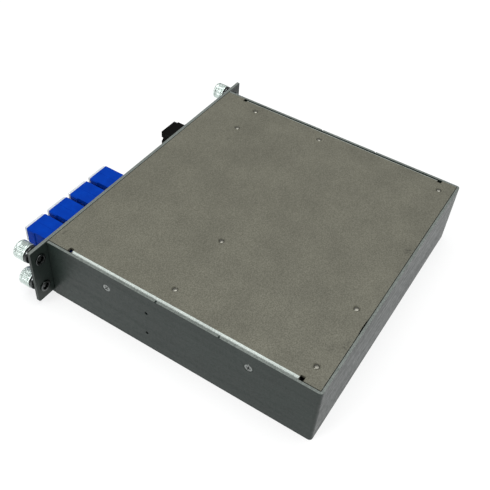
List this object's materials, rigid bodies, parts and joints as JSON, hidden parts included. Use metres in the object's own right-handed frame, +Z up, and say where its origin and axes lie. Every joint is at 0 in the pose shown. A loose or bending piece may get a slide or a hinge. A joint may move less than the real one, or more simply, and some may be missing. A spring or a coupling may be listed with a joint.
{
  "type": "fiber termination box",
  "caption": "Flat sheet-metal fibre termination module with duplex and multifibre adapters on its front panel and captive thumbscrews on its ears.",
  "frame": {"origin": "middle of the base tray's underside", "axes": "+X along the front panel towards the duplex adapters' end, +Y from front to back, +Z up"},
  "size_m": [0.1704, 0.1568, 0.0345],
  "materials": {
    "dark_paint": "dark green-grey paint, smooth satin",
    "cover_paint": "grey-olive powder coat, fine texture",
    "black_steel": "blackened steel",
    "black_steel_satin": "dark plated steel, satin",
    "nickel": "bright nickel plate",
    "spring_steel": "bright spring wire",
    "knob_steel": "bright knurled steel",
    "blue_plastic": "moulded blue, semi-gloss",
    "clear_cap": "frosted translucent plastic",
    "plug_plastic": "moulded blue",
    "black_plastic": "moulded black",
    "black_rubber": "soft black cap",
    "yellow_jacket": "yellow fibre jacket",
    "deck_plastic": "light grey moulding"
  },
  "bodies": {
    "chassis": {"base_tray": "dark_paint", "front_panel": "dark_paint", "top_cover": "cover_paint", "fibre_deck": "deck_plastic", "cover_screw_1": "black_steel", "cover_screw_2": "black_steel", "cover_screw_3": "black_steel", "cover_screw_4": "black_steel", "thumbscrew_ferrule_1": "nickel", "thumbscrew_ferrule_2": "nickel", "thumbscrew_ferrule_3": "nickel", "thumbscrew_ferrule_4": "nickel", "duplex_adapter_1": "blue_plastic", "duplex_adapter_2": "blue_plastic", "duplex_adapter_3": "blue_plastic", "duplex_adapter_4": "blue_plastic", "duplex_adapter_5": "blue_plastic", "duplex_adapter_6": "blue_plastic", "duplex_adapter_7": "blue_plastic", "duplex_adapter_8": "blue_plastic", "duplex_plug_1": "plug_plastic", "duplex_plug_2": "plug_plastic", "duplex_plug_3": "plug_plastic", "duplex_plug_4": "plug_plastic", "duplex_plug_5": "plug_plastic", "duplex_plug_6": "plug_plastic", "duplex_plug_7": "plug_plastic", "duplex_plug_8": "plug_plastic", "multifibre_adapter_1": "black_plastic", "multifibre_adapter_2": "black_plastic", "multifibre_plug_1": "black_plastic", "multifibre_plug_2": "black_plastic", "fanout_block_1": "black_plastic", "fanout_block_2": "black_plastic", "fibre_legs_1": "yellow_jacket", "fibre_legs_2": "yellow_jacket", "trunk_fibre_1": "yellow_jacket", "trunk_fibre_2": "yellow_jacket"},
    "thumbscrew_1_travel": {"thumbscrew_spring_1": "spring_steel"},
    "thumbscrew_1": {"thumbscrew_shank_1": "black_steel_satin", "thumbscrew_knob_1": "knob_steel"},
    "thumbscrew_2_travel": {"thumbscrew_spring_2": "spring_steel"},
    "thumbscrew_2": {"thumbscrew_shank_2": "black_steel_satin", "thumbscrew_knob_2": "knob_steel"},
    "thumbscrew_3_travel": {"thumbscrew_spring_3": "spring_steel"},
    "thumbscrew_3": {"thumbscrew_shank_3": "black_steel_satin", "thumbscrew_knob_3": "knob_steel"},
    "thumbscrew_4_travel": {"thumbscrew_spring_4": "spring_steel"},
    "thumbscrew_4": {"thumbscrew_shank_4": "black_steel_satin", "thumbscrew_knob_4": "knob_steel"},
    "duplex_cap_1": {"duplex_dust_cap_1": "clear_cap"},
    "duplex_cap_2": {"duplex_dust_cap_2": "clear_cap"},
    "duplex_cap_3": {"duplex_dust_cap_3": "clear_cap"},
    "duplex_cap_4": {"duplex_dust_cap_4": "clear_cap"},
    "duplex_cap_5": {"duplex_dust_cap_5": "clear_cap"},
    "duplex_cap_6": {"duplex_dust_cap_6": "clear_cap"},
    "duplex_cap_7": {"duplex_dust_cap_7": "clear_cap"},
    "duplex_cap_8": {"duplex_dust_cap_8": "clear_cap"},
    "multifibre_cap_1": {"multifibre_dust_cap_1": "black_rubber"},
    "multifibre_cap_2": {"multifibre_dust_cap_2": "black_rubber"}
  },
  "joints": [
    {"name": "thumbscrew_1_push", "type": "slide", "parent": "chassis", "child": "thumbscrew_1_travel", "axis": [0, 1, 0], "range_m": [0, 0.0015], "stiffness_N_per_m": 150},
    {"name": "thumbscrew_1_turn", "type": "hinge", "parent": "thumbscrew_1_travel", "child": "thumbscrew_1", "pos_m": [0.0802, -0.0715, 0.0274], "axis": [0, 1, 0], "continuous": true},
    {"name": "thumbscrew_2_push", "type": "slide", "parent": "chassis", "child": "thumbscrew_2_travel", "axis": [0, 1, 0], "range_m": [0, 0.0015], "stiffness_N_per_m": 150},
    {"name": "thumbscrew_2_turn", "type": "hinge", "parent": "thumbscrew_2_travel", "child": "thumbscrew_2", "pos_m": [0.0802, -0.0715, 0.0098], "axis": [0, 1, 0], "continuous": true},
    {"name": "thumbscrew_3_push", "type": "slide", "parent": "chassis", "child": "thumbscrew_3_travel", "axis": [0, 1, 0], "range_m": [0, 0.0015], "stiffness_N_per_m": 150},
    {"name": "thumbscrew_3_turn", "type": "hinge", "parent": "thumbscrew_3_travel", "child": "thumbscrew_3", "pos_m": [-0.0802, -0.0715, 0.0274], "axis": [0, 1, 0], "continuous": true},
    {"name": "thumbscrew_4_push", "type": "slide", "parent": "chassis", "child": "thumbscrew_4_travel", "axis": [0, 1, 0], "range_m": [0, 0.0015], "stiffness_N_per_m": 150},
    {"name": "thumbscrew_4_turn", "type": "hinge", "parent": "thumbscrew_4_travel", "child": "thumbscrew_4", "pos_m": [-0.0802, -0.0715, 0.0098], "axis": [0, 1, 0], "continuous": true},
    {"name": "duplex_cap_1_pull", "type": "slide", "parent": "chassis", "child": "duplex_cap_1", "axis": [0, -1, 0], "range_m": [0, 0.012]},
    {"name": "duplex_cap_2_pull", "type": "slide", "parent": "chassis", "child": "duplex_cap_2", "axis": [0, -1, 0], "range_m": [0, 0.012]},
    {"name": "duplex_cap_3_pull", "type": "slide", "parent": "chassis", "child": "duplex_cap_3", "axis": [0, -1, 0], "range_m": [0, 0.012]},
    {"name": "duplex_cap_4_pull", "type": "slide", "parent": "chassis", "child": "duplex_cap_4", "axis": [0, -1, 0], "range_m": [0, 0.012]},
    {"name": "duplex_cap_5_pull", "type": "slide", "parent": "chassis", "child": "duplex_cap_5", "axis": [0, -1, 0], "range_m": [0, 0.012]},
    {"name": "duplex_cap_6_pull", "type": "slide", "parent": "chassis", "child": "duplex_cap_6", "axis": [0, -1, 0], "range_m": [0, 0.012]},
    {"name": "duplex_cap_7_pull", "type": "slide", "parent": "chassis", "child": "duplex_cap_7", "axis": [0, -1, 0], "range_m": [0, 0.012]},
    {"name": "duplex_cap_8_pull", "type": "slide", "parent": "chassis", "child": "duplex_cap_8", "axis": [0, -1, 0], "range_m": [0, 0.012]},
    {"name": "multifibre_cap_1_pull", "type": "slide", "parent": "chassis", "child": "multifibre_cap_1", "axis": [0, -1, 0], "range_m": [0, 0.01]},
    {"name": "multifibre_cap_2_pull", "type": "slide", "parent": "chassis", "child": "multifibre_cap_2", "axis": [0, -1, 0], "range_m": [0, 0.01]}
  ]
}
